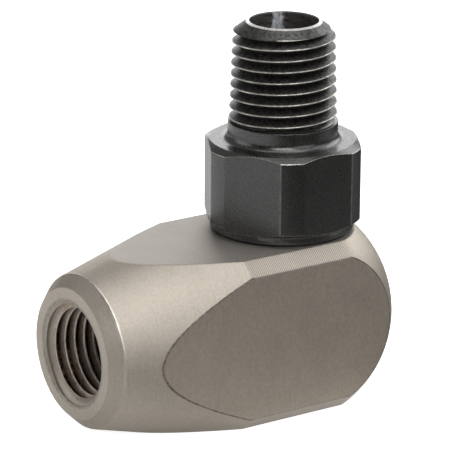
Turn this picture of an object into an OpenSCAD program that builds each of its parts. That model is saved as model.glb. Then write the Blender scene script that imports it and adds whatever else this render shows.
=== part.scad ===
// Right-angle ball swivel joint with one female and one male 1/4 inch taper pipe thread.
// Millimetres. Z is the swivel axis and the female port faces -X.
// The origin is on the bottom flat, straight under the swivel axis.

/* [Body] */
// Distance across the body's four milled flats
body_af = 22.2; // [21.4:0.1:24]
// Diameter of the turned bar that the flats are milled on
body_od = 29; // [27:0.1:31]
// Distance from the swivel axis to the face of the female port
port_reach = 31.7; // [29:0.1:40]
// Diameter of the flat face round the female port
nose_face_d = 16.7; // [14.5:0.1:18]
// Diameter of the nose where its chamfer meets the long cone
nose_d = 19.7; // [18.2:0.1:21]
// Length of the nose chamfer along the port axis
nose_chamfer = 1.58; // [0.8:0.02:2.5]
// Distance from the swivel axis to the big end of the long cone
cone_end = 12.4; // [10:0.1:16]
// Distance past the swivel axis at which the domed end starts
dome_start = 3; // [0.5:0.1:7]
// How much larger the dome's radius is than the bar's
dome_bulge = 0.52; // [0.1:0.02:3]

/* [Female port] */
// Diameter of the hole drilled for the 1/4 inch taper pipe thread
port_bore_d = 11.12; // [10.6:0.02:12]
// Depth of that hole at its full diameter
port_depth = 14.2; // [12:0.1:15.5]
// Diameter of the countersink at the port face
port_sink_d = 13.4; // [12.4:0.1:14.2]
// Diameter of the flow passage from the port to the swivel axis
passage_d = 6.2; // [5.8:0.1:6.6]

/* [Swivel bearing] */
// Diameter of the body's bore that the stem turns in
swivel_bore_d = 15; // [14.6:0.1:15.6]
// Running clearance on the radius between the stem and the bore
shaft_gap = 0.04; // [0.02:0.01:0.1]
// Diameter of one bearing ball
ball_d = 2; // [1.8:0.05:2.1]
// Clearance on the radius between a ball and its race
race_gap = 0.05; // [0.02:0.01:0.1]
// Smallest gap left between two neighbouring balls
ball_spacing_gap = 0.03; // [0.01:0.01:0.2]
// Solid land between the dust seal's pocket and the race
upper_land = 1.1; // [0.7:0.05:1.3]
// Solid land between the race and the seal gland
lower_land = 0.45; // [0.3:0.05:0.8]

/* [Seals] */
// Thickness of the O-ring's round section before it is fitted
oring_cs = 1.3; // [1.1:0.05:1.4]
// Share of that thickness that is left between gland and bore
oring_fitted = 0.85; // [0.75:0.01:0.92]
// Thickness of the backup ring
backup_t = 0.6; // [0.4:0.05:0.7]
// Slack along the axis in the gland
gland_slack = 0.15; // [0.1:0.01:0.3]
// Lip of the stem below the gland
gland_lip = 0.5; // [0.4:0.05:0.7]
// Gap between the stem's lower end and the shelf in the body
end_gap = 0.25; // [0.15:0.05:0.4]
// Clearance between a seal and the faces it slides past
seal_gap = 0.03; // [0.01:0.01:0.06]
// Depth of the dust seal's pocket in the body's top flat
seal_pocket_depth = 1; // [0.7:0.05:1.2]
// Diameter of that pocket
seal_pocket_d = 17.4; // [16.8:0.1:18]

/* [Stem] */
// Diameter of the flow bore through the stem
stem_bore_d = 8.8; // [7.6:0.02:9]
// Gap between the body's top flat and the underside of the hexagon
hex_gap = 0.26; // [0.15:0.01:0.5]
// Distance across the hexagon's flats
hex_af = 19.05; // [18.6:0.05:20]
// Diameter that the hexagon's corners are turned to
hex_od = 20.5; // [20.2:0.05:22]
// Height of the hexagon
hex_h = 11.49; // [9:0.01:14]
// Diameter of the round collar under the hexagon
collar_d = 18.4; // [17.8:0.05:19]
// Height of that collar
collar_h = 0.95; // [0.6:0.05:1.6]
// Height of the chamfer above the hexagon's corners
hex_top_chamfer = 0.57; // [0.3:0.01:0.9]
// Slope of the hexagon's upper and lower chamfers from the horizontal
hex_chamfer_angle = 30; // [20:1:45]
// Turn of the hexagon about the swivel axis at rest
hex_turn = 1.6; // [0:0.1:59]

/* [Male thread] */
// Diameter of the plain neck below the thread
neck_d = 14; // [13.8:0.05:14.6]
// Height of the neck above the hexagon, fillet included
neck_h = 2.35; // [1.8:0.05:4]
// Radius of the fillet between the neck and the hexagon
neck_fillet = 0.9; // [0.4:0.05:1.1]
// Length from the neck to the end face
thread_l = 12.94; // [10:0.02:18]
// Diameter over the thread's crests, taken to the end face
thread_end_d = 13; // [12.6:0.02:13.1]
// Taper of the thread on its diameter, as one part in this many
thread_taper = 16; // [14:1:20]
// Distance from one crest of the thread to the next
thread_pitch = 1.411; // [1.2:0.001:1.6]
// Depth of the thread from crest to root
thread_depth = 1.08; // [0.7:0.02:1.1]
// Angle between the two flanks of a groove
thread_angle = 60; // [50:1:65]
// Width of the flat at a groove's root
thread_root_flat = 0.1; // [0.02:0.01:0.15]
// Distance from the end face to the first full crest
first_crest = 2.31; // [1.4:0.01:2.8]
// Outer diameter of the sloping lip round the bore's mouth
rim_d = 9.6; // [9.2:0.05:10.6]
// Slope of that lip from the horizontal
rim_slope = 20; // [5:1:28]
// Slope of the end chamfer from the horizontal
end_chamfer_angle = 37; // [30:1:50]

/* [Loading plug] */
// Diameter of the set screw that closes the ball loading hole
plug_d = 2.5; // [2.4:0.05:2.6]
// Depth of the screw's head end below the body's flat
plug_recess = 0.3; // [0.1:0.05:0.6]
// Clearance on the radius round the set screw
plug_gap = 0.02; // [0.01:0.01:0.05]
// Clearance on the radius that lets a ball through the loading hole
load_gap = 0.03; // [0.01:0.01:0.04]
// Size across the flats of the screw's hexagon socket
socket_af = 1.27; // [0.9:0.01:1.5]
// Depth of that socket
socket_depth = 1; // [0.5:0.05:1.2]

/* [Hidden] */
$fn = 96;
// Overrun of every cutter past the face that it opens
over = 1;
// Half angle left by a twist drill's point
drill_half_angle = 59;
// Chamfer that leads the seals into the swivel bore
lead_in = 0.25;

// Heights of the body
axis_h = body_af / 2;
top_h = body_af;

// Turned form of the body
bar_r = body_od / 2;
dome_r = bar_r + dome_bulge;
dome_x = dome_start - sqrt(dome_r * dome_r - bar_r * bar_r);
body_end = dome_x + dome_r;

// Female port
port_bore_r = port_bore_d / 2;
port_sink_r = port_sink_d / 2;
passage_r = passage_d / 2;
port_floor_x = -port_reach + port_depth;
port_point_l = (port_bore_r - passage_r) / tan(drill_half_angle);

// Bearing
bore_r = swivel_bore_d / 2;
shank_r = bore_r - shaft_gap;
ball_circle_r = bore_r - shaft_gap / 2;
race_r = ball_d / 2 + race_gap;
race_z = top_h - seal_pocket_depth - upper_land - race_r;
ball_pitch = ball_d + ball_spacing_gap;
ball_count = floor(180 / asin(ball_pitch / (2 * ball_circle_r)));
ball_step = 360 / ball_count;

// Seals
gland_r = bore_r - oring_cs * oring_fitted;
gland_top_z = race_z - race_r - lower_land;
gland_w = oring_cs + backup_t + gland_slack;
gland_floor_z = gland_top_z - gland_w;
oring_z = gland_floor_z + seal_gap + oring_cs / 2;
backup_z = gland_top_z - seal_gap - backup_t;
pocket_floor_z = top_h - seal_pocket_depth;
pocket_r = seal_pocket_d / 2;

// Stem
stem_bore_r = stem_bore_d / 2;
stem_end_z = gland_floor_z - gland_lip;
shelf_z = stem_end_z - end_gap;
hex_z = top_h + hex_gap;
hex_top_z = hex_z + hex_h;
// The shank is rooted in the hexagon up to this height
core_z = hex_z + hex_h / 2;
hex_r = hex_od / 2;
collar_r = collar_d / 2;
hex_base_chamfer = (hex_r - collar_r) * tan(hex_chamfer_angle);
hex_face_r = hex_r - hex_top_chamfer / tan(hex_chamfer_angle);
neck_r = neck_d / 2;
neck_top_z = hex_top_z + neck_h;
stem_top_z = neck_top_z + thread_l;
thread_end_r = thread_end_d / 2;
thread_foot_r = thread_end_r + thread_l / (2 * thread_taper);
first_groove_z = stem_top_z - first_crest + thread_pitch / 2;
groove_count = floor((first_groove_z - neck_top_z) / thread_pitch) + 1;
rim_r = rim_d / 2;
rim_drop = (rim_r - stem_bore_r) * tan(rim_slope);
// The end chamfer's cone meets the thread's cone at this depth below the bore's mouth
chamfer_slope = tan(end_chamfer_angle);
chamfer_l = (rim_drop + chamfer_slope * (thread_end_r - rim_r)) / (1 - chamfer_slope / (2 * thread_taper));
chamfer_r = thread_end_r + chamfer_l / (2 * thread_taper);

// Loading plug
plug_r = plug_d / 2;
load_r = ball_d / 2 + load_gap;
race_outer_r = ball_circle_r + race_r;
plug_l = body_af / 2 - plug_recess - race_outer_r;

function ball_name(i) = str("ball_", i < 10 ? "0" : "", i);

// Lays a shape that was turned about Z along the port axis, with its Z along +X
module on_port_axis() {
    translate([0, 0, axis_h]) rotate([0, 90, 0]) children();
}

// Lays a shape that was drawn along Z along +Y at the height of the ball race
module on_loading_axis() {
    translate([0, 0, race_z]) rotate([-90, 0, 0]) children();
}

// Round groove that both bearing races are cut with
module race_ring() {
    translate([0, 0, race_z]) rotate_extrude() translate([ball_circle_r, 0]) circle(race_r);
}

// The bar as turned: face, chamfer, long cone and full diameter
module turned_bar() {
    rotate_extrude() polygon([
        [0, -port_reach],
        [nose_face_d / 2, -port_reach],
        [nose_d / 2, -port_reach + nose_chamfer],
        [bar_r, -cone_end],
        [bar_r, dome_start],
        [0, dome_start]
    ]);
}

// Domed end, a cap of a sphere that is slightly larger than the bar
module dome() {
    intersection() {
        translate([0, 0, dome_x]) sphere(dome_r);
        translate([0, 0, dome_start]) cylinder(h = 2 * dome_r, r = 2 * dome_r);
    }
}

// Countersink, threaded hole with its drill point, and flow passage
module port_hole() {
    rotate_extrude() polygon([
        [0, -port_reach - over],
        [port_sink_r + over, -port_reach - over],
        [port_bore_r, -port_reach + port_sink_r - port_bore_r],
        [port_bore_r, port_floor_x],
        [passage_r, port_floor_x + port_point_l],
        [passage_r, 0],
        [0, 0]
    ]);
}

// Dust seal pocket, stem bore and flow chamber with its drill point
module swivel_hole() {
    chamber_floor_z = axis_h - passage_r;
    rotate_extrude() polygon([
        [0, top_h + over],
        [pocket_r, top_h + over],
        [pocket_r, pocket_floor_z],
        [bore_r + lead_in, pocket_floor_z],
        [bore_r, pocket_floor_z - lead_in],
        [bore_r, shelf_z],
        [stem_bore_r, shelf_z],
        [stem_bore_r, chamber_floor_z],
        [0, chamber_floor_z - stem_bore_r / tan(drill_half_angle)]
    ]);
}

// Hole that the balls are loaded through, and its wider threaded mouth
module loading_hole() {
    translate([0, 0, bore_r - over / 2]) cylinder(h = body_af, r = load_r);
    translate([0, 0, race_outer_r]) cylinder(h = body_af, r = plug_r + plug_gap);
}

module body() {
    color([0.66, 0.63, 0.59]) difference() {
        intersection() {
            on_port_axis() {
                turned_bar();
                dome();
            }
            translate([-port_reach - over, -body_af / 2, 0])
                cube([port_reach + body_end + 2 * over, body_af, body_af]);
        }
        on_port_axis() port_hole();
        swivel_hole();
        race_ring();
        on_loading_axis() loading_hole();
    }
}

// Shank that turns in the body, with the seal gland
module shank() {
    rotate_extrude() polygon([
        [0, stem_end_z],
        [shank_r - lead_in, stem_end_z],
        [shank_r, stem_end_z + lead_in],
        [shank_r, gland_floor_z],
        [gland_r, gland_floor_z],
        [gland_r, gland_top_z],
        [shank_r, gland_top_z],
        [shank_r, core_z],
        [0, core_z]
    ]);
}

// Hexagon above a round collar, turned to a diameter across its corners and chamfered at both ends
module hexagon() {
    intersection() {
        rotate_extrude() polygon([
            [0, hex_z],
            [collar_r, hex_z],
            [collar_r, hex_z + collar_h],
            [hex_r, hex_z + collar_h + hex_base_chamfer],
            [hex_r, hex_top_z - hex_top_chamfer],
            [hex_face_r, hex_top_z],
            [0, hex_top_z]
        ]);
        translate([0, 0, hex_z]) rotate(hex_turn) cylinder(h = hex_h, r = hex_af / sqrt(3), $fn = 6);
    }
}

// Concave fillet at the foot of the neck, rooted in the hexagon
module neck_foot() {
    foot_r = neck_r + neck_fillet;
    translate([0, 0, hex_top_z]) rotate_extrude() difference() {
        translate([0, -neck_fillet]) square([foot_r, 2 * neck_fillet]);
        translate([foot_r, neck_fillet]) circle(neck_fillet);
    }
}

// Section of one groove of the male thread, at height z
module groove(z) {
    root_r = thread_end_r + (stem_top_z - z) / (2 * thread_taper) - thread_depth;
    open_r = neck_r + over;
    root_half = thread_root_flat / 2;
    open_half = root_half + (open_r - root_r) * tan(thread_angle / 2);
    polygon([
        [root_r, z - root_half],
        [open_r, z - open_half],
        [open_r, z + open_half],
        [root_r, z + root_half]
    ]);
}

// Neck and male thread. Each turn of the thread is drawn as a ring of its own, so that all faces are true cones
module threaded_end() {
    rotate_extrude() difference() {
        polygon([
            [0, hex_z],
            [neck_r, hex_z],
            [neck_r, neck_top_z],
            [thread_foot_r, neck_top_z],
            [chamfer_r, stem_top_z - chamfer_l],
            [rim_r, stem_top_z - rim_drop],
            [stem_bore_r, stem_top_z],
            [0, stem_top_z]
        ]);
        intersection() {
            for (turn = [0 : groove_count - 1]) groove(first_groove_z - turn * thread_pitch);
            translate([0, neck_top_z]) square([neck_r + 2 * over, thread_l]);
        }
    }
}

module stem() {
    color([0.2, 0.2, 0.2]) difference() {
        union() {
            shank();
            hexagon();
            neck_foot();
            threaded_end();
        }
        translate([0, 0, stem_end_z - over]) cylinder(h = stem_top_z, r = stem_bore_r);
        race_ring();
    }
}

// One ball of the full row, numbered from 1
module ball(i) {
    color([0.8, 0.8, 0.82])
        rotate((i - 0.5) * ball_step) translate([ball_circle_r, 0, race_z]) sphere(d = ball_d);
}

// Ring of rubber between the pocket's floor and the hexagon, with a relieved outer top edge
module dust_seal() {
    seal_r = pocket_r - 2 * seal_gap;
    floor_z = pocket_floor_z + seal_gap;
    relief = (hex_z - top_h) / 2;
    color([0.08, 0.08, 0.08]) rotate_extrude() polygon([
        [shank_r + seal_gap, floor_z],
        [seal_r, floor_z],
        [seal_r, hex_z - relief],
        [seal_r - relief, hex_z],
        [shank_r + seal_gap, hex_z]
    ]);
}

// O-ring as fitted, its round section pressed flat against gland and bore
module o_ring() {
    color([0.06, 0.06, 0.06]) translate([0, 0, oring_z]) rotate_extrude() intersection() {
        translate([(gland_r + bore_r) / 2, 0]) circle(d = oring_cs);
        translate([gland_r + seal_gap, -oring_cs]) square([bore_r - gland_r - 2 * seal_gap, 2 * oring_cs]);
    }
}

// Flat ring that keeps the O-ring out of the running gap
module backup_ring() {
    color([0.92, 0.9, 0.84]) translate([0, 0, backup_z]) rotate_extrude()
        translate([gland_r + seal_gap, 0]) square([bore_r - gland_r - 2 * seal_gap, backup_t]);
}

// Set screw with a hexagon socket
module loading_plug() {
    color([0.15, 0.15, 0.15]) on_loading_axis() translate([0, 0, race_outer_r]) difference() {
        cylinder(h = plug_l, r = plug_r);
        translate([0, 0, plug_l - socket_depth])
            cylinder(h = socket_depth + over, r = socket_af / sqrt(3), $fn = 6);
    }
}

body();
stem();
dust_seal();
o_ring();
backup_ring();
loading_plug();
for (i = [1 : ball_count]) ball(i);
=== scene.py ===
import math

import bpy
import numpy as np
from mathutils import Matrix, Vector


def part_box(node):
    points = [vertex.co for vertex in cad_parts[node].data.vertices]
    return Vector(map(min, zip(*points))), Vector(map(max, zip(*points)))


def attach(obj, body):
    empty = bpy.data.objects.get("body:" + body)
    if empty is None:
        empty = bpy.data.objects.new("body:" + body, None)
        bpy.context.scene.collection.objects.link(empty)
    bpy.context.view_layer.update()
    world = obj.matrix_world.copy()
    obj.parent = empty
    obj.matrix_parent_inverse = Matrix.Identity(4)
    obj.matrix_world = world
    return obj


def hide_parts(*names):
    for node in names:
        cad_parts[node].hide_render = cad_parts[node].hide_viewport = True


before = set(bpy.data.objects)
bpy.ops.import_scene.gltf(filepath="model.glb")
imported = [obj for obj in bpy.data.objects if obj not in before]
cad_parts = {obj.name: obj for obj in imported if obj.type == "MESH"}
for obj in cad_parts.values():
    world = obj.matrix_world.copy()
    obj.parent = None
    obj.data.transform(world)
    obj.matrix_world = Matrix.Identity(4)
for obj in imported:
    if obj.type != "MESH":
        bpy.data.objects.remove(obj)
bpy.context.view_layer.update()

# Sizes are in millimetres here, and turn into metres when a mesh is made
MM = 0.001
TAU = 2 * math.pi
BODY_LOW, BODY_HIGH = [np.array(corner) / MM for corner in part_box("body")]
STEM_LOW, STEM_HIGH = [np.array(corner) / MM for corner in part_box("stem")]

# Body
BODY_TOP = BODY_HIGH[2]
FLAT = BODY_TOP / 2
AXIS_H = BODY_TOP / 2
PORT_X = BODY_LOW[0]
BAR_R = 14.5
NOSE_FACE_R = 8.35
NOSE_R = 9.85
NOSE_CHAMFER = 1.58
CONE_END_X = -12.4
DOME_START_X = 3.0
DOME_R = 15.02
DOME_X = BODY_HIGH[0] - DOME_R
FLAT_BLEND = 0.08
EDGE_R = 0.15

# Feed marks of the lathe on the body's cylinder, between two plain strips
MARK_PITCH = 0.27
MARK_DEPTH = 0.03
MARK_SHAPE = 0.7
PLAIN_L = 0.6

# Female port
PORT_BORE_R = 5.56
PORT_DEPTH = 14.2
SINK_R = 6.7
MOUTH_EDGE_R = 0.45
PASSAGE_R = 3.1
PASSAGE_END_X = -1.0
DRILL_SLOPE = math.tan(math.radians(59))

# Taper pipe thread: axial pitch, change of radius with length, and radial rise of a flank with length
PITCH = 25.4 / 18
TAPER = 1 / 32
FLANK = math.tan(math.radians(60))
ROOT_SOFT = 0.05
FEMALE_ROOT_R = 6.75
FEMALE_ROOT_DEPTH = 0.54
FEMALE_CREST_R = 5.58
FEMALE_MOUTH_CREST_R = 5.7
FEMALE_FADE_DEPTH = 9.6
FEMALE_FADE = 0.45
FEMALE_END_GAP = 1.2
MALE_CREST_R = 6.48
MALE_CREST_Z = AXIS_H + 35.83
MALE_DEPTH = 1.14
CREST_FLAT = 0.09
FADE_START = 0.5
FADE_L = 0.9

# Swivel bore of the body
BORE_R = 7.5
RACE_CIRCLE_R = 7.48
RACE_R = 1.05
BALL_R = 1.0
RACE_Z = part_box("ball_01")[0].z / MM + BALL_R
POCKET_R = 8.7
POCKET_DEPTH = 1.0
LEAD_IN = 0.25
PLUG_HOLE_R = 1.27
BALL_HOLE_R = 1.03
BREAK = 0.1

# Stem
STEM_END_Z = STEM_LOW[2]
STEM_TOP_Z = STEM_HIGH[2]
STEM_BORE_R = 4.4
SHANK_R = 7.46
END_GAP = 0.25
GLAND_R = 6.395
GLAND_FLOOR_Z = STEM_END_Z + 0.5
GLAND_TOP_Z = GLAND_FLOOR_Z + 2.05
HEX_Z = BODY_TOP + 0.26
HEX_TOP_Z = HEX_Z + 11.49
HEX_FLAT = 19.05 / 2
HEX_R = 10.25
COLLAR_R = 9.2
COLLAR_H = 0.95
HEX_CHAMFER = math.tan(math.radians(30))
HEX_TOP_CHAMFER = 0.57
HEX_FACE_R = HEX_R - HEX_TOP_CHAMFER / HEX_CHAMFER
HEX_TURN = math.radians(31.6)
HEX_BLEND = 0.07
NECK_R = 7.0
NECK_TOP_Z = HEX_TOP_Z + 2.35
NECK_FILLET = 0.9
FILLET_GAP = 0.05
RIM_R = 4.8
RIM_SLOPE = math.tan(math.radians(20))
END_CHAMFER = math.tan(math.radians(37))
FINE_BREAK = 0.03

# How far a solid passes the faces at which it cuts or is cut, and how deep the thread is set into the neck
PAST = 1.0
SET_IN = 0.6

# Radius at which a solid's cap begins. The bores take away those of the body's passage and of the stem
TIP_R = 0.01
BODY_CAP_R = 0.2
STEM_CAP_R = 0.5
NECK_CAP_R = 3.0

# Fineness of the grids: steps along a profile, rows of a lathe mark, and points round a solid or on an arc
BODY_STEP = 0.45
DOME_STEP = 0.35
STEM_STEP = 0.6
ROWS_PER_MARK = 4
CREST_ROWS = (0, 0.4, 0.8, 1.2, 1.8)
CREST_ROWS_L = CREST_FLAT / 2 + 0.02
FLANK_ROWS = 4
ROOT_ROWS = (0.1, 0.06, 0.03)
FEMALE_AROUND = 128
MALE_AROUND = 240
SWIVEL_AROUND = 160
FLOW_AROUND = 128
HOLE_AROUND = 48
RACE_POINTS = 17
FILLET_POINTS = 12
CORNER_STEPS = 5
LEAST_STEP = 0.004

# Half a corner's angle from which it counts as straight, and angle at which the dome's rings end
NEARLY_SQUARE = math.radians(89)

# Angle between two faces from which their edge is shaded sharp
SHARP_ANGLE = math.radians(32)

# Camera, solved from the photograph
VIEW_AZ = math.radians(-35.722)
VIEW_EL = math.radians(19.298)
VIEW_ROLL = math.radians(0.449)
VIEW_DISTANCE = 464.64
AIM_RIGHT = -7.262
AIM_UP = 10.485
FOCAL_PX = 3615.4
IMAGE_PX = 450
SENSOR_MM = 36.0

# Brightness of the studio's walls behind and in front of the part
WALL_BACK = 0.23
WALL_FRONT = 0.0

# Floor. The camera sees pale paper that glows. Reflections see a grey that rises from front to back,
# painted shade in front and painted light behind
FLOOR_HALF = 4000
FLOOR_GAP = 0.01
FLOOR_GLOW = 0.85
FLOOR_FRONT = 0.02
FLOOR_BACK = 0.95

# Distance to the front and back over which that grey rises, and what the sides and the near floor add
GRADE_HALF = 98
GRADE_LEFT = 0.8
GRADE_RIGHT = -1.5
GRADE_RIGHT_Y = -40
GRADE_FRONT_RIGHT = 0.6
GRADE_FRONT_RIGHT_X = 25
GRADE_NEAR = 12
GRADE_NEAR_REACH = 40

# The part's footprint on the floor, and the glow of the paper under it in reflections
FOOT_X = -9
FOOT_HALF_L = 20
FOOT_HALF_W = 6
UNDER_GLOW = 0.4

# Square lights by name: azimuth, elevation, size and radiance, with azimuth 0 on -Y and 90 on +X. Their
# size, their distance and the place that they look at are in metres
LIGHTS = {
    "front": (-32, 38, 0.4, 3.6),
    "side": (100, 28, 0.4, 2.6),
    "back": (145, 14, 0.4, 2.05),
    "overhead": (0, 89, 0.5, 1.46),
    "left": (-125, 14, 0.4, 1.1),
    "right": (55, 38, 0.4, 1.0),
    "high": (10, 62, 0.4, 1.25),
    "key": (10, 14, 0.4, 1.3),
}
LIGHT_DISTANCE = 0.65
LIGHT_AIM = Vector((0, 0, 0.02))

# Colours of the body, as linear red, green and blue. Pairs run from dark to light, or inwards in the port,
# where they darken as painted shade
TURNED = ((0.39, 0.349, 0.30), (0.53, 0.48, 0.418))
GROUND = ((0.39, 0.363, 0.33), (0.52, 0.49, 0.45))
MILLED = ((0.375, 0.325, 0.273), (0.51, 0.447, 0.381))
BORDER_LINE = (0.05, 0.042, 0.035)
MARK_RIDGE = (0.62, 0.56, 0.50)
# Tone of the lathe grooves, darker than the ridges
MARK_GROOVE_DARK = (0.10, 0.088, 0.075)
# Painted shade: the port's flanks darken inwards and its roots are near black
PORT_FLANK_SHADED = ((0.50, 0.43, 0.36), (0.34, 0.275, 0.225))
PORT_ROOT_SHADE = (0.03, 0.024, 0.02)
PORT_RUST = (0.30, 0.18, 0.125)
# Darker tone of a ring at the port's mouth edge
MOUTH_DARK_RING = (0.12, 0.10, 0.08)
# Bare steel of the port's crests, also the colour of the nose edge's painted highlight
BARE_STEEL_AND_HIGHLIGHT = (0.85, 0.81, 0.75)

# Colours of the stem, and refraction of its oiled oxide layer
OXIDE = ((0.0005, 0.0005, 0.0005), (0.022, 0.0202, 0.018))
RUBBED_OXIDE = (0.034, 0.031, 0.027)
BORE_WALL = ((0.02, 0.018, 0.017), (0.12, 0.112, 0.103))
# Colour of the painted highlight down one side of the bore
BORE_PAINTED_HIGHLIGHT = (0.9, 0.93, 0.98)
# Bare steel of wear, also used for the burr's painted highlight
WORN_STEEL_AND_HIGHLIGHT = (0.66, 0.63, 0.56)
RIM_STEEL = (0.88, 0.87, 0.86)
OXIDE_IOR = 1.93

# Sides of the bore's painted highlight and of the thread's burr, which is also a painted highlight, and
# turn of the hexagon's upright edges that show wear
PAINTED_HIGHLIGHT_SIDE = (0.42, 0.907)
BURR_HIGHLIGHT_SIDE = (-0.4, -0.917)
BURR_HIGHLIGHT_R = 6.0
WORN_TURN = HEX_TURN + math.radians(11)

# Colours of the small pieces and of the floor
RUBBER = ((0.012, 0.012, 0.012), (0.03, 0.03, 0.029))
PLASTIC = ((0.74, 0.71, 0.62), (0.85, 0.83, 0.76))
PLUG_STEEL = ((0.05, 0.05, 0.05), (0.09, 0.09, 0.09))
BALL_STEEL = ((0.62, 0.62, 0.64), (0.7, 0.7, 0.72))
PAPER = ((0.84, 0.84, 0.84), (0.86, 0.86, 0.86))


def link(obj):
    bpy.context.scene.collection.objects.link(obj)
    return obj


def mesh_object(name, points, faces):
    mesh = bpy.data.meshes.new(name)
    mesh.from_pydata((np.asarray(points) * MM).tolist(), [], faces)
    mesh.update()
    return link(bpy.data.objects.new(name, mesh))


def soft_min(a, b, width):
    """The smaller of two values, with a rounded passage that wide from one to the other."""
    share = np.clip(0.5 + 0.5 * (b - a) / width, 0, 1)
    return b * (1 - share) + a * share - width * share * (1 - share)


def soft_max(a, b, width):
    return -soft_min(-a, -b, width)


def smooth_step(low, high, value):
    t = np.clip((value - low) / (high - low), 0, 1)
    return t * t * (3 - 2 * t)


def spaced(length, step, near=None, reach=1.5, count=14):
    """Distances from 0 to length, at most a step apart and ever closer together towards near."""
    values = np.linspace(0, length, max(2, math.ceil(length / step) + 1))
    if near is not None:
        close = reach * (np.arange(count + 1) / count) ** 2
        values = np.concatenate([values, near - close, near + close])
    values = np.unique(np.round(values[(values >= 0) & (values <= length)], 3))
    return values[np.concatenate([[True], np.diff(values) > LEAST_STEP])]


def arc(centre, radius, start, stop, count):
    """Points (along, radius) of an arc. Angles are in radians, from the radius direction towards along."""
    angle = np.linspace(start, stop, count)
    return [(centre[0] + radius * math.sin(a), centre[1] + radius * math.cos(a)) for a in angle]


def with_round_corners(path, radius, longest=0.45):
    """The path with an arc for each inner corner. A point's third value, if any, is its own radius.
    An arc takes up no more than the share longest of the stretches on its two sides."""
    radii = [p[2] if len(p) > 2 else radius for p in path]
    path = [np.array(p[:2], float) for p in path]
    out = [path[0]]
    for before, corner, after, radius in zip(path, path[1:], path[2:], radii[1:]):
        back, ahead = before - corner, after - corner
        back_l, ahead_l = np.linalg.norm(back), np.linalg.norm(ahead)
        back, ahead = back / back_l, ahead / ahead_l
        half = 0.5 * math.acos(np.clip(back @ ahead, -1, 1))
        if half > NEARLY_SQUARE:
            out.append(corner)
            continue
        cut = min(radius / math.tan(half), longest * back_l, longest * ahead_l)
        r = cut * math.tan(half)
        centre = corner + (back + ahead) / np.linalg.norm(back + ahead) * r / math.sin(half)
        first, last = corner + back * cut - centre, corner + ahead * cut - centre
        turn = math.pi - 2 * half
        for t in np.linspace(0, 1, CORNER_STEPS + 1):
            spoke = (first * math.sin((1 - t) * turn) + last * math.sin(t * turn)) / math.sin(turn)
            out.append(centre + spoke)
    return out + [path[-1]]


def with_more_points(path, step, flat_r=None):
    """The path with points along its long stretches, closest together where it passes a flat's distance."""
    out = [path[0]]
    for start, stop in zip(path, path[1:]):
        start, stop = np.array(start, float), np.array(stop, float)
        length = np.linalg.norm(stop - start)
        near = None
        if flat_r is not None and (start[1] - flat_r) * (stop[1] - flat_r) < 0:
            near = length * (flat_r - start[1]) / (stop[1] - start[1])
        for t in spaced(length, step, near)[1:]:
            out.append(start + (stop - start) * t / length)
    return np.array(out)


def grid_faces(rows, around, shift=0):
    """Quads of a grid that closes on itself. shift joins the seam to a row that far on, as on a helix."""
    faces = []
    for i in range(rows - 1):
        for j in range(around):
            ahead = (j + 1) % around
            k = i if ahead else i + shift
            if k + 1 < rows:
                near, far = k * around + ahead, (k + 1) * around + ahead
                faces.append((i * around + j, near, far, (i + 1) * around + j))
    return faces


def ring_solid(name, rings):
    """Closed solid from rings (row, around, xyz), capped at the middle of the first and of the last one."""
    rows, around, _ = rings.shape
    points = np.vstack([rings.reshape(-1, 3), rings[0].mean(0), rings[-1].mean(0)])
    first, last, base = rows * around, rows * around + 1, (rows - 1) * around
    faces = grid_faces(rows, around)
    faces += [(first, (j + 1) % around, j) for j in range(around)]
    faces += [(last, base + j, base + (j + 1) % around) for j in range(around)]
    return mesh_object(name, points, faces)


def flatted_rings(path, sides, flat_r, turn, blend, flat_n=12, edge_n=8, round_n=6, edge_half=1.3):
    """Rings about Z of a turned path (z, r) with equal flats all round. Columns follow the flats' edges."""
    half_sector = math.pi / sides
    edge_half = math.radians(edge_half)
    rings = []
    for z, r in path:
        meet = math.acos(min(1, flat_r / r)) if r > 0 else 0
        meet = min(max(meet, 2 * edge_half), half_sector - 2 * edge_half)
        half = np.concatenate([
            np.linspace(0, meet - edge_half, flat_n, endpoint=False),
            np.linspace(meet - edge_half, meet + edge_half, edge_n, endpoint=False),
            np.linspace(meet + edge_half, half_sector, round_n + 1),
        ])
        sector = np.concatenate([half, 2 * half_sector - half[-2:0:-1]])
        angle = np.concatenate([sector + k * 2 * half_sector for k in range(sides)])
        off = (angle + half_sector) % (2 * half_sector) - half_sector
        radius = soft_min(np.full_like(angle, r), flat_r / np.cos(off), blend)
        radius = np.where(r < flat_r - blend, r, radius)
        angle = angle + turn
        rings.append(np.stack([radius * np.cos(angle), radius * np.sin(angle), np.full_like(angle, z)], 1))
    return np.array(rings)


def round_rings(path, around):
    angle = np.arange(around) * TAU / around
    unit = np.stack([np.cos(angle), np.sin(angle), 0 * angle], 1)
    return np.array([r * unit + (0, 0, z) for z, r in path])


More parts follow.
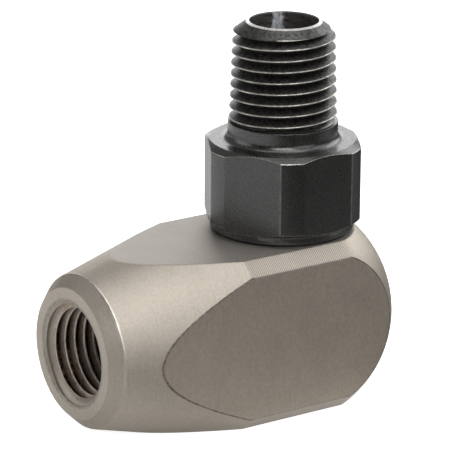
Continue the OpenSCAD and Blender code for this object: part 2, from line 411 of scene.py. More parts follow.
def helix_rod(name, low, high, crest_s, offsets, radius_at, around):
    """Closed rod about Z whose rows climb one pitch a turn. radius_at(z, d) takes the height and the
    distance along Z to the nearest crest_s, and offsets places the rows of one pitch."""
    first_turn = math.floor((low - crest_s) / PITCH) - 1
    last_turn = math.ceil((high - crest_s) / PITCH)
    turns = np.arange(first_turn, last_turn + 1)
    s = (crest_s + turns[:, None] * PITCH + offsets[None, :]).ravel()
    per_turn = len(offsets)
    angle = np.arange(around) * TAU / around
    z = s[:, None] + PITCH * angle[None, :] / TAU
    away = np.abs((s - crest_s + PITCH / 2) % PITCH - PITCH / 2)
    r = radius_at(z, np.broadcast_to(away[:, None], z.shape))
    rows = len(s)
    points = np.stack([r * np.cos(angle), r * np.sin(angle), z], 2).reshape(-1, 3)
    points = np.vstack([points, [0, 0, s[0] + PITCH / 2], [0, 0, s[-1] + PITCH / 2]])
    floor = list(range(around)) + [i * around for i in range(per_turn, 0, -1)]
    roof = [(rows - 1) * around + j for j in range(around)]
    roof += [i * around + around - 1 for i in range(rows - 2, rows - 2 - per_turn, -1)]
    faces = grid_faces(rows, around, per_turn)
    faces += [(rows * around, floor[(n + 1) % len(floor)], floor[n]) for n in range(len(floor))]
    faces += [(rows * around + 1, roof[n], roof[(n + 1) % len(roof)]) for n in range(len(roof))]
    return mesh_object(name, points, faces)


def turn_to(obj, axis, lift):
    """Turns a solid made about Z to lie about X or Y, and lifts it. A helix keeps its hand."""
    matrix = Matrix.Identity(4)
    for row, column in enumerate({"x": (2, 0, 1), "y": (1, 2, 0)}[axis]):
        matrix[row] = [1.0 if c == column else 0.0 for c in range(4)]
    matrix[2][3] = lift * MM
    obj.data.transform(matrix)
    return obj


def combine(obj, tool, operation):
    """Boolean of two closed solids, written into obj. The tool goes away."""
    modifier = obj.modifiers.new("combine", "BOOLEAN")
    modifier.operation = operation
    modifier.solver = "MANIFOLD"
    modifier.object = tool
    bpy.context.view_layer.update()
    evaluated = obj.evaluated_get(bpy.context.evaluated_depsgraph_get())
    mesh = bpy.data.meshes.new_from_object(evaluated)
    obj.modifiers.clear()
    obj.data = mesh
    bpy.data.objects.remove(tool)


def shade(obj):
    obj.data.shade_smooth()
    obj.data.set_sharp_from_angle(angle=SHARP_ANGLE)


# Thread profiles

def rows_of_pitch():
    """Places of the grid's rows in one pitch, closest together at the crest and at the root."""
    half = PITCH / 2
    near = np.array(CREST_ROWS) * CREST_ROWS_L
    root = half - np.array(ROOT_ROWS)
    flank = np.linspace(near[-1], root[0], FLANK_ROWS + 1)[1:]
    side = np.concatenate([near, flank, root[1:]])
    return np.sort(np.concatenate([side, [half], PITCH - side[1:]]))


def male_radius(z, away):
    crest = MALE_CREST_R + (STEM_TOP_Z - z) * TAPER
    depth = MALE_DEPTH * smooth_step(NECK_TOP_Z - FADE_START, NECK_TOP_Z + FADE_L, z)
    drop = (away - CREST_FLAT / 2) * FLANK
    return crest - soft_min(soft_max(drop, 0 * drop, ROOT_SOFT), depth, ROOT_SOFT)


def female_radius(x, away):
    depth = x - PORT_X
    root = FEMALE_ROOT_R - depth * TAPER - np.maximum(0, depth - FEMALE_FADE_DEPTH) * FEMALE_FADE
    rise = root - soft_max((away - CREST_FLAT / 2) * FLANK, 0 * away, ROOT_SOFT)
    crest = np.maximum(FEMALE_CREST_R, FEMALE_MOUTH_CREST_R - depth * TAPER)
    return soft_max(rise, crest, ROOT_SOFT)


# Body

def body_path():
    """Half section of the turned body about X, from the flow passage out to the dome's pole."""
    sink_end = PORT_X + SINK_R - PORT_BORE_R
    floor_x = PORT_X + PORT_DEPTH
    bore = [
        (PASSAGE_END_X, BODY_CAP_R),
        (PASSAGE_END_X, PASSAGE_R),
        (floor_x + (PORT_BORE_R - PASSAGE_R) / DRILL_SLOPE, PASSAGE_R),
        (floor_x, PORT_BORE_R),
        (sink_end, PORT_BORE_R),
        (PORT_X, SINK_R, MOUTH_EDGE_R),
        (PORT_X, NOSE_FACE_R),
        (PORT_X + NOSE_CHAMFER, NOSE_R),
        (CONE_END_X, BAR_R),
        (CONE_END_X + PLAIN_L, BAR_R),
    ]
    bore = with_more_points(with_round_corners(bore, EDGE_R), BODY_STEP, FLAT)
    marks = spaced(DOME_START_X - CONE_END_X - 2 * PLAIN_L, MARK_PITCH / ROWS_PER_MARK)
    marks_x = CONE_END_X + PLAIN_L + marks[1:]
    groove = np.abs(np.sin(math.pi * marks_x / MARK_PITCH)) ** MARK_SHAPE
    band = np.stack([marks_x, BAR_R - MARK_DEPTH * (1 - groove)], 1)
    start = math.asin((DOME_START_X - DOME_X) / DOME_R)
    meet = math.acos(FLAT / DOME_R)
    angles = start + spaced((math.pi / 2 - start) * DOME_R, DOME_STEP, (meet - start) * DOME_R) / DOME_R
    dome = [(DOME_X + DOME_R * math.sin(a), DOME_R * math.cos(a)) for a in angles if a < NEARLY_SQUARE]
    return np.vstack([bore, band, dome])


def swivel_path():
    """Half section of the swivel bore about Z, from the drill point up to above the body's top."""
    chamber_floor = AXIS_H - PASSAGE_R
    pocket_z = BODY_TOP - POCKET_DEPTH
    swing = math.acos((BORE_R - RACE_CIRCLE_R) / RACE_R)
    race = arc((RACE_Z, RACE_CIRCLE_R), RACE_R, -swing, swing, RACE_POINTS)
    return np.array([
        (chamber_floor - STEM_BORE_R / DRILL_SLOPE, TIP_R),
        (chamber_floor, STEM_BORE_R),
        (STEM_END_Z - END_GAP, STEM_BORE_R),
        (STEM_END_Z - END_GAP, BORE_R),
        *race,
        (pocket_z - LEAD_IN, BORE_R),
        (pocket_z, BORE_R + LEAD_IN),
        (pocket_z, POCKET_R),
        (BODY_TOP - BREAK, POCKET_R),
        (BODY_TOP + PAST, POCKET_R + PAST + BREAK),
    ])


def loading_path():
    """Half section of the ball loading hole about Y, from inside the race out through the flat."""
    start = BORE_R - PAST / 2
    return np.array([
        (start, TIP_R),
        (start, BALL_HOLE_R),
        (RACE_CIRCLE_R + RACE_R, BALL_HOLE_R),
        (RACE_CIRCLE_R + RACE_R, PLUG_HOLE_R),
        (FLAT - BREAK, PLUG_HOLE_R),
        (FLAT + PAST, PLUG_HOLE_R + PAST + BREAK),
    ])


def make_body():
    rings = flatted_rings(body_path(), 4, FLAT, 0, FLAT_BLEND, flat_n=5)
    body = turn_to(ring_solid("swivel_body", rings), "x", AXIS_H)
    thread = helix_rod(
        "female_thread", PORT_X - PAST, PORT_X + PORT_DEPTH - FEMALE_END_GAP, PORT_X + FEMALE_ROOT_DEPTH,
        rows_of_pitch(), female_radius, FEMALE_AROUND,
    )
    combine(body, turn_to(thread, "x", AXIS_H), "DIFFERENCE")
    combine(body, ring_solid("swivel_bore", round_rings(swivel_path(), SWIVEL_AROUND)), "DIFFERENCE")
    loading = ring_solid("loading_hole", round_rings(loading_path(), HOLE_AROUND))
    combine(body, turn_to(loading, "y", RACE_Z), "DIFFERENCE")
    shade(body)
    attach(body, "housing")
    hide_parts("body")
    return body


# Stem

def stem_path():
    """Half section of the stem about Z without its thread: shank, gland, ball race, hexagon and neck."""
    swing = math.acos((RACE_CIRCLE_R - SHANK_R) / RACE_R)
    race = arc((RACE_Z, RACE_CIRCLE_R), RACE_R, swing - TAU, -swing, RACE_POINTS)[::-1]
    lower = [
        (STEM_END_Z, STEM_CAP_R),
        (STEM_END_Z, SHANK_R - LEAD_IN),
        (STEM_END_Z + LEAD_IN, SHANK_R),
        (GLAND_FLOOR_Z, SHANK_R),
        (GLAND_FLOOR_Z, GLAND_R),
        (GLAND_TOP_Z, GLAND_R),
        (GLAND_TOP_Z, SHANK_R),
    ]
    upper = [
        (HEX_Z, SHANK_R),
        (HEX_Z, COLLAR_R),
        (HEX_Z + COLLAR_H, COLLAR_R),
        (HEX_Z + COLLAR_H + (HEX_R - COLLAR_R) * HEX_CHAMFER, HEX_R),
        (HEX_TOP_Z - HEX_TOP_CHAMFER, HEX_R),
        (HEX_TOP_Z, HEX_FACE_R),
        (HEX_TOP_Z, NECK_R + NECK_FILLET + FILLET_GAP),
    ]
    foot = [(HEX_TOP_Z + NECK_FILLET * (1 - math.cos(a)), NECK_R + NECK_FILLET * (1 - math.sin(a)))
            for a in np.linspace(0, math.pi / 2, FILLET_POINTS)]
    neck = [(NECK_TOP_Z, NECK_R), (NECK_TOP_Z, NECK_CAP_R)]
    outer = with_round_corners(upper, EDGE_R)[:-1] + foot[:-1]
    outer += with_round_corners([foot[-1]] + neck, EDGE_R / 2)
    return with_more_points(lower + race + outer, STEM_STEP, HEX_FLAT)


def thread_envelope():
    """Turned limits of the threaded end about Z, with the end chamfer."""
    wide = NECK_R + PAST
    rim_z = STEM_TOP_Z - (RIM_R - STEM_BORE_R) * RIM_SLOPE
    chamfer = [(rim_z - (wide - RIM_R) * END_CHAMFER, wide), (rim_z, RIM_R), (STEM_TOP_Z, STEM_BORE_R)]
    low = [(NECK_TOP_Z - SET_IN, TIP_R), (NECK_TOP_Z - SET_IN, wide)]
    return np.array(low + with_round_corners(chamfer, EDGE_R) + [(STEM_TOP_Z, TIP_R)])


def flow_bore_path():
    return np.array([
        (STEM_END_Z - PAST, TIP_R),
        (STEM_END_Z - PAST, STEM_BORE_R + PAST + BREAK),
        (STEM_END_Z + BREAK, STEM_BORE_R),
        (STEM_TOP_Z - FINE_BREAK, STEM_BORE_R),
        (STEM_TOP_Z + PAST, STEM_BORE_R + PAST + FINE_BREAK),
        (STEM_TOP_Z + PAST, TIP_R),
    ])


def make_stem():
    stem = ring_solid("swivel_stem", flatted_rings(stem_path(), 6, HEX_FLAT, HEX_TURN, HEX_BLEND))
    front = VIEW_AZ - math.pi / 2
    thread = helix_rod(
        "male_thread", NECK_TOP_Z - PAST, STEM_TOP_Z + PAST, MALE_CREST_Z - PITCH * front / TAU,
        rows_of_pitch(), male_radius, MALE_AROUND,
    )
    combine(thread, ring_solid("thread_envelope", round_rings(thread_envelope(), MALE_AROUND)), "INTERSECT")
    combine(stem, thread, "UNION")
    combine(stem, ring_solid("flow_bore", round_rings(flow_bore_path(), FLOW_AROUND)), "DIFFERENCE")
    shade(stem)
    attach(stem, "stem")
    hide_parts("stem")
    return stem


# Materials

class Nodes:
    """The node tree of a material or of the world, with short calls for the nodes used here."""

    def __init__(self, owner):
        owner.use_nodes = True
        self.owner = owner
        self.tree = owner.node_tree
        self.coordinates = self.add("ShaderNodeTexCoord").outputs

    def add(self, kind, inputs=None, **settings):
        node = self.tree.nodes.new(kind)
        for key, value in settings.items():
            setattr(node, key, value)
        for key, value in (inputs or {}).items():
            self.put(node.inputs[key], value)
        return node

    def put(self, socket, value):
        if isinstance(value, bpy.types.NodeSocket):
            self.tree.links.new(value, socket)
        else:
            socket.default_value = value

    def math(self, operation, a, b=0.0, clamp=False):
        return self.add("ShaderNodeMath", {0: a, 1: b}, operation=operation, use_clamp=clamp).outputs[0]

    def fold(self, operation, values):
        total = values[0]
        for value in values[1:]:
            total = self.math(operation, total, value)
        return total

    def times(self, *values):
        return self.fold("MULTIPLY", values)

    def plus(self, *values):
        return self.fold("ADD", values)

    def most(self, *values):
        return self.fold("MAXIMUM", values)

    def minus(self, a, b):
        return self.math("SUBTRACT", a, b)

    def absolute(self, value):
        return self.math("ABSOLUTE", value)

    def length(self, a, b):
        return self.math("SQRT", self.plus(self.times(a, a), self.times(b, b)))

    def towards(self, x, y, side):
        """How far x and y reach in a direction (x, y)."""
        return self.plus(self.times(x, side[0]), self.times(y, side[1]))

    def place(self, stretch=(1, 1, 1)):
        """Object coordinates in millimetres, stretched along each axis."""
        scale = tuple(s / MM for s in stretch)
        inputs = {0: self.coordinates["Object"], 1: scale}
        return self.add("ShaderNodeVectorMath", inputs, operation="MULTIPLY").outputs[0]

    def axes(self, vector):
        return self.add("ShaderNodeSeparateXYZ", {0: vector}).outputs

    def noise(self, vector, scale, detail=3.0, roughness=0.55):
        inputs = {"Vector": vector, "Scale": scale, "Detail": detail, "Roughness": roughness}
        return self.add("ShaderNodeTexNoise", inputs).outputs["Fac"]

    def fit(self, value, low, high, new_low=0.0, new_high=1.0):
        inputs = {0: value, 1: low, 2: high, 3: new_low, 4: new_high}
        return self.add("ShaderNodeMapRange", inputs).outputs[0]

    def within(self, value, start, full, full_end, end):
        """Mask that rises from start to full, and falls again from full_end to end."""
        return self.times(self.fit(value, start, full), self.fit(value, end, full_end))

    def mix(self, share, a, b):
        """From a to b by share. A colour may be three plain numbers."""
        a, b = [(*value, 1) if isinstance(value, tuple) else value for value in (a, b)]
        return self.add("ShaderNodeMix", {0: share, 6: a, 7: b}, data_type="RGBA").outputs[2]

    def bump(self, height, distance_mm, strength, normal=None):
        inputs = {"Height": height, "Distance": distance_mm * MM, "Strength": strength}
        if normal is not None:
            inputs["Normal"] = normal
        return self.add("ShaderNodeBump", inputs).outputs[0]

    def finish(self, color, metallic, roughness, normal=None, ior=None):
        surface = self.tree.nodes["Principled BSDF"].inputs
        wanted = {
            "Base Color": color,
            "Metallic": metallic,
            "Roughness": roughness,
            "Normal": normal,
            "IOR": ior,
        }
        for key, value in wanted.items():
            if value is not None:
                self.put(surface[key], value)
        return self.owner


def material_nodes(name):
    return Nodes(bpy.data.materials.new(name))


# Steel of the body

def machined_color(s, cloud, grain, tool_marks, side, level):
    """Clouded and grained tone of the turned faces, the ground level flats and the milled upright ones."""
    tone = s.plus(
        s.fit(cloud, 0.3, 0.7, 0.15, 0.4),
        s.fit(grain, 0.38, 0.62, 0.0, 0.5),
        s.fit(tool_marks, 0.3, 0.7, 0.0, 0.2),
    )
    turned, ground, milled = [s.mix(tone, *tones) for tones in (TURNED, GROUND, MILLED)]
    return s.mix(side, s.mix(level, turned, ground), milled)


def with_border_line(s, color, y, sideways, patchy):
    """Thin dark line round the two upright flats."""
    line = s.times(
        s.fit(s.absolute(y), FLAT - 0.10, FLAT - 0.05),
        s.fit(sideways, 0.998, 0.99),
        s.plus(s.times(patchy, 0.45), 0.3),
    )
    return s.mix(line, color, BORDER_LINE)


def with_lathe_marks(s, color, x, radius):
    """Light ridges on the cylinder, darker in the grooves between them."""
    height = s.absolute(s.math("SINE", s.times(x, math.pi / MARK_PITCH)))
    along = s.within(x, CONE_END_X + 0.3, CONE_END_X + PLAIN_L, DOME_START_X - PLAIN_L, DOME_START_X)
    band = s.times(along, s.fit(radius, BAR_R - 0.2, BAR_R - 0.1))
    color = s.mix(s.times(band, 0.5), color, MARK_RIDGE)
    return s.mix(s.times(s.fit(height, 0.75, 0.15, 0.0, 0.75), band), color, MARK_GROOVE_DARK)


def with_shaded_port_thread(s, color, place, radius, depth, patchy):
    """Thread of the port with painted shade in its dark roots, rust and light crests, all darker further in
    as painted shade.
    """
    inside = s.times(
        s.fit(radius, FEMALE_ROOT_R + 0.15, FEMALE_ROOT_R),
        s.within(depth, 0.75, 1.3, PORT_DEPTH + 2, PORT_DEPTH + 3),
    )
    # Light crests, fading further in as painted shade
    crest = s.times(
        s.fit(radius, FEMALE_CREST_R + 0.2, FEMALE_CREST_R + 0.1),
        s.fit(depth, 9, 4, 0.4, 1.0),
        s.fit(patchy, 0, 1, 0.45, 1.0),
    )
    # Flanks darker further in, and roots darker still: painted shade
    flank = s.mix(s.fit(depth, 2, 9), *PORT_FLANK_SHADED)
    thread = s.mix(s.fit(radius, FEMALE_CREST_R + 0.85, FEMALE_CREST_R + 0.4), PORT_ROOT_SHADE, flank)
    rust = s.fit(s.noise(place, 0.9, 5.0, 0.75), 0.48, 0.62, 0.0, 0.75)
    thread = s.mix(rust, thread, PORT_RUST)
    thread = s.mix(crest, thread, BARE_STEEL_AND_HIGHLIGHT)
    return s.mix(inside, color, thread)


def with_dark_mouth_ring(s, color, radius, depth, patchy):
    """Darker patchy ring round the port's mouth."""
    off_ring = s.absolute(s.minus(radius, SINK_R + 0.1))
    dark_ring = s.times(
        s.fit(off_ring, 0.3, 0.1),
        s.fit(depth, 0.6, 0.4),
        s.plus(s.times(patchy, 0.35), 0.15),
    )
    return s.mix(dark_ring, color, MOUTH_DARK_RING)


def nose_edge_polish_and_highlight_mask(s, radius, depth, up):
    """Worn, polished edge of the nose, lightened as a painted highlight that fades towards the underside.
    """
    return s.times(
        s.fit(s.absolute(s.minus(depth, NOSE_CHAMFER)), 0.22, 0.08),
        s.fit(radius, NOSE_R - 0.3, NOSE_R - 0.2),
        s.fit(up, -3.0, 3.0, 0.1, 1.0),
    )


def body_steel():
    s = material_nodes("body_steel")
    place = s.place()
    x, y, z = s.axes(place)
    _, normal_y, normal_z = s.axes(s.coordinates["Normal"])
    up = s.minus(z, AXIS_H)
    radius = s.length(y, up)
    depth = s.minus(x, PORT_X)
    sideways = s.absolute(normal_y)
    side = s.fit(sideways, 0.985, 0.999)
    level = s.fit(s.absolute(normal_z), 0.985, 0.999)
    cloud = s.noise(place, 0.22, 4.0)
    grain = s.noise(place, 3.2, 4.0, 0.7)
    rings = s.noise(s.place((6.0, 0.15, 0.15)), 1.0, 2.0)
    strokes = s.noise(s.place((7.0, 0.2, 0.22)), 1.0, 3.0)
    patchy = s.fit(s.noise(place, 1.3, 4.0, 0.7), 0.35, 0.6)
    edge = nose_edge_polish_and_highlight_mask(s, radius, depth, up)
    color = machined_color(s, cloud, grain, s.mix(side, rings, strokes), side, level)
    color = with_border_line(s, color, y, sideways, patchy)
    color = with_lathe_marks(s, color, x, radius)
    color = with_shaded_port_thread(s, color, place, radius, depth, patchy)
    color = with_dark_mouth_ring(s, color, radius, depth, patchy)
    # Painted highlight in bare steel along the nose's upper edge
    color = s.mix(s.times(edge, s.plus(s.times(patchy, 0.45), 0.15)), color, BARE_STEEL_AND_HIGHLIGHT)
    lines = s.plus(s.times(rings, 0.5), s.times(strokes, side, 0.8))
    normal = s.bump(lines, 0.014, 0.4, s.bump(grain, 0.02, 0.4))
    roughness = s.plus(
        s.fit(grain, 0.25, 0.75, 0.50, 0.58),
        s.times(side, 0.03),
        s.times(level, 0.05),
        s.times(edge, -0.16),
    )
    return s.finish(color, 1.0, roughness, normal)


# Steel of the stem

def hexagon_wear(s, radius, z, normal):
    """Worn edges of the hexagon: one upright edge of each flat, and the edges of both chamfers."""
    normal_x, normal_y, normal_z = normal
    turns = [WORN_TURN + k * math.pi / 3 for k in range(3)]
    sides = [(math.cos(turn), math.sin(turn)) for turn in turns]
    facing = s.most(*[s.absolute(s.towards(normal_x, normal_y, side)) for side in sides])
    tilt = s.absolute(normal_z)
    upright = s.times(s.fit(facing, 0.990, 0.996, 0.0, 0.14), s.fit(tilt, 0.1, 0.05))
    chamfer = s.times(s.within(tilt, 0.15, 0.3, 0.65, 0.8), s.fit(normal_z, -0.1, 0.1, 0.4, 1.0))
    return s.times(
        s.most(upright, chamfer),
        s.within(z, HEX_Z + 0.5, HEX_Z + 0.6, HEX_TOP_Z - 0.06, HEX_TOP_Z - 0.02),
        s.fit(radius, COLLAR_R - 0.1, COLLAR_R),
    )


def burr_and_highlight_mask(s, x, y, z, radius, facing_up):
    """Bright burr at the front of the thread's first turn, on the end chamfer: bare metal that also stands
    as a painted highlight.
    """
    front = s.math("DIVIDE", s.towards(x, y, BURR_HIGHLIGHT_SIDE), radius)
    return s.times(
        s.fit(radius, BURR_HIGHLIGHT_R, BURR_HIGHLIGHT_R + 0.06),
        s.fit(z, STEM_TOP_Z - 1.4, STEM_TOP_Z - 1.3),
        s.fit(front, 0.93, 0.97),
        s.fit(facing_up, 0.6, 0.7),
    )


def rim_mask(s, radius, z, patchy):
    """Bright patchy rim between the end chamfer and the bore."""
    return s.times(
        s.within(radius, STEM_BORE_R - 0.01, STEM_BORE_R + 0.02, RIM_R - 0.02, RIM_R + 0.06),
        s.fit(z, STEM_TOP_Z - 0.25, STEM_TOP_Z - 0.2),
        s.plus(s.times(patchy, 0.5), 0.5),
    )


def rubbed_mask(s, place, z, facing_up, under_crest, on_thread, scored):
    """Places where the oxide is rubbed thin: thread flanks, blotches on the neck, and the end chamfer."""
    flanks = s.times(s.fit(under_crest, -0.8, -0.1, 0.0, 0.8), on_thread)
    neck = s.within(z, HEX_TOP_Z + 0.05, HEX_TOP_Z + 0.3, NECK_TOP_Z - 1.2, NECK_TOP_Z - 0.6)
    blotches = s.times(neck, s.fit(s.noise(place, 1.1, 5.0, 0.7), 0.48, 0.62, 0.0, 0.8))
    chamfer = s.times(
        s.fit(z, STEM_TOP_Z - 1.5, STEM_TOP_Z - 1.3),
        s.fit(facing_up, 0.6, 0.75),
        s.fit(scored, 0.35, 0.65, 0.2, 1.0),
    )
    return s.most(flanks, blotches, chamfer)


def bore_wall_and_highlight_color(s, x, y, scored):
    """Tooled wall of the flow bore, with a painted highlight along one side."""
    side = [part / STEM_BORE_R for part in PAINTED_HIGHLIGHT_SIDE]
    near = s.fit(s.towards(x, y, side), 0.97, 0.999)
    # Painted highlight down one side of the bore's wall
    highlight_streak = s.fit(s.plus(near, s.fit(scored, 0.35, 0.65)), 0.95, 1.6)
    tooled = s.noise(s.place((0.5, 0.5, 3.0)), 1.0, 4.0, 0.7)
    return s.mix(highlight_streak, s.mix(s.fit(tooled, 0.35, 0.65), *BORE_WALL), BORE_PAINTED_HIGHLIGHT)


def stem_steel():
    s = material_nodes("stem_steel")
    place = s.place()
    x, y, z = s.axes(place)
    normal = s.axes(s.coordinates["Normal"])
    facing_up = normal[2]
    radius = s.length(x, y)
    crest = s.plus(MALE_CREST_R + STEM_TOP_Z * TAPER, s.times(z, -TAPER))
    under_crest = s.minus(radius, crest)
    on_thread = s.fit(z, NECK_TOP_Z, NECK_TOP_Z + 0.3)
    speck = s.noise(place, 3.4, 5.0, 0.75)
    cloud = s.noise(place, 0.35, 3.0)
    fine = s.noise(place, 8.0, 2.0, 0.6)
    patchy = s.fit(s.noise(place, 1.3, 5.0, 0.7), 0.40, 0.60)
    scored = s.noise(s.place((1.6, 1.6, 0.9)), 1.0, 6.0, 0.8)

    # Bare metal on the crests, the hexagon's edges, the burr and the rim. The burr is also a painted
    # highlight
    wear_and_highlight = s.most(
        s.times(s.fit(under_crest, -0.13, -0.04), on_thread),
        hexagon_wear(s, radius, z, normal),
        burr_and_highlight_mask(s, x, y, z, radius, facing_up),
    )
    rim = rim_mask(s, radius, z, patchy)
    wear_and_highlight = s.most(s.times(wear_and_highlight, s.fit(patchy, 0, 1, 0.4, 1.0)), s.times(rim, 0.6))
    bored = s.times(
        s.fit(radius, STEM_BORE_R + 0.03, STEM_BORE_R + 0.01),
        s.fit(z, STEM_END_Z, STEM_END_Z + 1),
    )

    # Oxide, rubbed thin in places, under the bore's wall with its painted highlight and the bare metal
    tone = s.plus(s.fit(speck, 0.35, 0.65, 0.05, 0.3), s.fit(cloud, 0.3, 0.7, 0.0, 0.15))
    tone = s.math("ADD", tone, s.fit(fine, 0.35, 0.65, 0.0, 0.45), clamp=True)
    rubbed = rubbed_mask(s, place, z, facing_up, under_crest, on_thread, scored)
    rubbed = s.times(rubbed, s.plus(s.times(tone, 0.8), 0.4))
    color = s.mix(rubbed, s.mix(tone, *OXIDE), RUBBED_OXIDE)
    color = s.mix(bored, color, bore_wall_and_highlight_color(s, x, y, scored))
    # Bare steel of wear, and the burr's painted highlight
    color = s.mix(wear_and_highlight, color, WORN_STEEL_AND_HIGHLIGHT)
    color = s.mix(rim, color, RIM_STEEL)

    # Metal shows at wear and at the burr's painted highlight, in fine specks, and in blotches on the thread
    # and the hexagon's top
    blotch = s.fit(s.noise(place, 2.0, 5.0, 0.75), 0.42, 0.58, 0.7, 0.0)
    top = s.times(s.fit(facing_up, 0.9, 0.97), s.fit(z, HEX_TOP_Z - 0.4, HEX_TOP_Z - 0.2))
    metallic = s.most(
        s.times(wear_and_highlight, 0.8),
        s.times(bored, 0.5),
        s.fit(fine, 0.35, 0.6, 0.3, 0.0),
        s.times(blotch, s.most(on_thread, s.times(top, 0.7))),
    )
    roughness = s.plus(
        s.fit(speck, 0.25, 0.75, 0.20, 0.33),
        s.times(on_thread, 0.16),
        s.times(wear_and_highlight, -0.32),
    )
    roughness = s.most(roughness, s.times(bored, 0.45))
    rough = s.times(speck, s.plus(on_thread, 1.0))
    bumps = s.bump(fine, 0.008, 0.4, s.bump(rough, 0.02, 0.4))
    return s.finish(color, metallic, roughness, bumps, OXIDE_IOR)


# Materials of the small pieces

def grained_material(s, grain, tones, metallic, rough_low, rough_high, bump_mm, strength):
    """Finish whose tone, roughness and bumps follow one grain."""
    share = s.fit(grain, 0.3, 0.7)
    roughness = s.fit(grain, 0.3, 0.7, rough_low, rough_high)
    return s.finish(s.mix(share, *tones), metallic, roughness, s.bump(grain, bump_mm, strength))


def plain_steel(name, tones, rough_low, rough_high):
    s = material_nodes(name)
    grain = s.noise(s.place(), 5.0, 4.0, 0.65)
    return grained_material(s, grain, tones, 1.0, rough_low, rough_high, 0.005, 0.2)


def seal_rubber():
    s = material_nodes("seal_rubber")
    grain = s.noise(s.place(), 7.0, 4.0, 0.7)
    return grained_material(s, grain, RUBBER, 0.0, 0.45, 0.62, 0.01, 0.3)


def backup_plastic():
    s = material_nodes("backup_plastic")
    turned = s.noise(s.place((0.4, 0.4, 14.0)), 1.0, 2.0)
    return grained_material(s, turned, PLASTIC, 0.0, 0.4, 0.55, 0.01, 0.3)


def dress(node, material):
    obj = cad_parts[node]
    if not obj.material_slots:
        obj.data.materials.append(material)
    for slot in obj.material_slots:
        slot.material = material


# Stage

def make_camera():
    back = Vector((
        math.sin(VIEW_AZ) * math.cos(VIEW_EL),
        -math.cos(VIEW_AZ) * math.cos(VIEW_EL),
        math.sin(VIEW_EL),
    ))
    up_axis = Vector((0, 0, 1))
    side = (-back).cross(up_axis).normalized()
    top = side.cross(-back)
    centre = Vector((0, 0, AXIS_H))
    place = centre + back * VIEW_DISTANCE
    aim = centre + side * AIM_RIGHT + top * AIM_UP
    ahead = (aim - place).normalized()
    right = ahead.cross(up_axis).normalized()
    up = right.cross(ahead)
    cos_roll, sin_roll = math.cos(VIEW_ROLL), math.sin(VIEW_ROLL)
    right, up = cos_roll * right + sin_roll * up, cos_roll * up - sin_roll * right
    data = bpy.data.cameras.new("camera")
    data.sensor_width = SENSOR_MM
    data.lens = FOCAL_PX / IMAGE_PX * SENSOR_MM
    data.clip_start = 0.01
    data.clip_end = 20
    camera = link(bpy.data.objects.new("camera", data))
    matrix = Matrix((right, up, -ahead)).transposed().to_4x4()
    matrix.translation = place * MM
    camera.matrix_world = matrix
    bpy.context.scene.camera = camera


def soft_light(name, azimuth, elevation, size, radiance):
    """Square area light that looks at the part."""
    data = bpy.data.lights.new(name, "AREA")
    data.shape = "SQUARE"
    data.size = size
    data.energy = radiance * math.pi * size * size
    light = link(bpy.data.objects.new(name, data))
    az, el = math.radians(azimuth), math.radians(elevation)
    away = Vector((math.sin(az) * math.cos(el), -math.cos(az) * math.cos(el), math.sin(el)))
    light.location = LIGHT_AIM + LIGHT_DISTANCE * away
    light.rotation_euler = (-away).to_track_quat("-Z", "Y").to_euler()
    light.visible_camera = False


def floor_grade(s, x, y, past_foot):
    """Grey of the floor in reflections, which follows how far back a place lies: painted shade towards the
    front, painted light towards the back and near the part.
    """
    left = s.most(s.times(x, -1), 0)
    right = s.most(s.math("MINIMUM", x, s.minus(y, GRADE_RIGHT_Y)), 0)
    front_right = s.most(s.math("MINIMUM", s.minus(x, GRADE_FRONT_RIGHT_X), s.times(y, -1)), 0)
    away = s.plus(
        y,
        s.times(left, GRADE_LEFT),
        s.times(front_right, GRADE_FRONT_RIGHT),
        s.times(right, GRADE_RIGHT),
        s.fit(past_foot, 0, GRADE_NEAR_REACH, GRADE_NEAR, 0),
    )
    inputs = {0: away, 1: -GRADE_HALF, 2: GRADE_HALF, 3: FLOOR_FRONT, 4: FLOOR_BACK}
    return s.add("ShaderNodeMapRange", inputs, interpolation_type="SMOOTHSTEP").outputs[0]


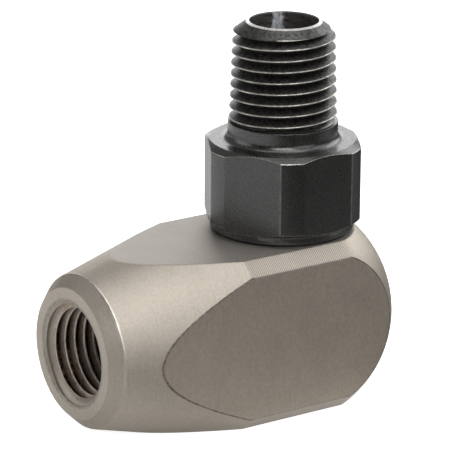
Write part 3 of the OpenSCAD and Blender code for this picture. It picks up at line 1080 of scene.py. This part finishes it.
def floor_paper():
    s = material_nodes("floor_paper")
    x, y, _ = s.axes(s.place())
    seen = s.add("ShaderNodeLightPath").outputs["Is Camera Ray"]
    paper = s.mix(s.noise(s.place(), 0.02, 2.0), *PAPER)
    past_x = s.most(s.minus(s.absolute(s.minus(x, FOOT_X)), FOOT_HALF_L), 0)
    past_y = s.most(s.minus(s.absolute(y), FOOT_HALF_W), 0)
    grey = floor_grade(s, x, y, s.plus(past_x, past_y))
    under = s.times(
        s.fit(past_x, 0, 5, UNDER_GLOW, 0),
        s.fit(past_y, 6, 10, 1, 0),
        s.fit(x, -18, -4, 0.4, 1.0),
        s.minus(1, seen),
    )
    surface = s.tree.nodes["Principled BSDF"].inputs
    s.put(surface["Emission Color"], (1, 1, 1, 1))
    s.put(surface["Emission Strength"], s.plus(under, s.times(seen, FLOOR_GLOW)))
    return s.finish(s.mix(seen, grey, paper), 0.0, 0.9)


def make_floor():
    corners = [(x, y, -FLOOR_GAP) for x, y in ((-1, -1), (1, -1), (1, 1), (-1, 1))]
    points = [(x * FLOOR_HALF, y * FLOOR_HALF, z) for x, y, z in corners]
    floor = mesh_object("floor", points, [(0, 1, 2, 3)])
    floor.data.materials.append(floor_paper())


def make_world():
    """Room that is dark in front of the part and grey behind it in reflections, and white to the camera."""
    s = Nodes(bpy.data.worlds.new("studio"))
    front = (math.sin(VIEW_AZ), -math.cos(VIEW_AZ), 0)
    inputs = {0: s.coordinates["Generated"], 1: front}
    ahead = s.add("ShaderNodeVectorMath", inputs, operation="DOT_PRODUCT").outputs["Value"]
    room = s.fit(ahead, -0.2, 0.8, WALL_BACK, WALL_FRONT)
    seen = s.add("ShaderNodeLightPath").outputs["Is Camera Ray"]
    background = s.tree.nodes["Background"].inputs
    s.put(background["Color"], (1, 1, 1, 1))
    s.put(background["Strength"], s.add("ShaderNodeMix", {0: seen, 2: room, 3: 1.0}).outputs[0])
    bpy.context.scene.world = s.owner


make_camera()
body = make_body()
stem = make_stem()
body.data.materials.clear()
body.data.materials.append(body_steel())
stem.data.materials.clear()
stem.data.materials.append(stem_steel())
rubber = seal_rubber()
for seal in ("dust_seal", "o_ring"):
    dress(seal, rubber)
dress("backup_ring", backup_plastic())
dress("loading_plug", plain_steel("plug_steel", PLUG_STEEL, 0.35, 0.5))
ball_steel = plain_steel("ball_steel", BALL_STEEL, 0.08, 0.14)
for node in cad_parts:
    if node.startswith("ball_"):
        dress(node, ball_steel)

make_world()
make_floor()
for name, light in LIGHTS.items():
    soft_light(name, *light)
bpy.context.scene.view_settings.view_transform = "Standard"
bpy.context.scene.view_settings.look = "None"
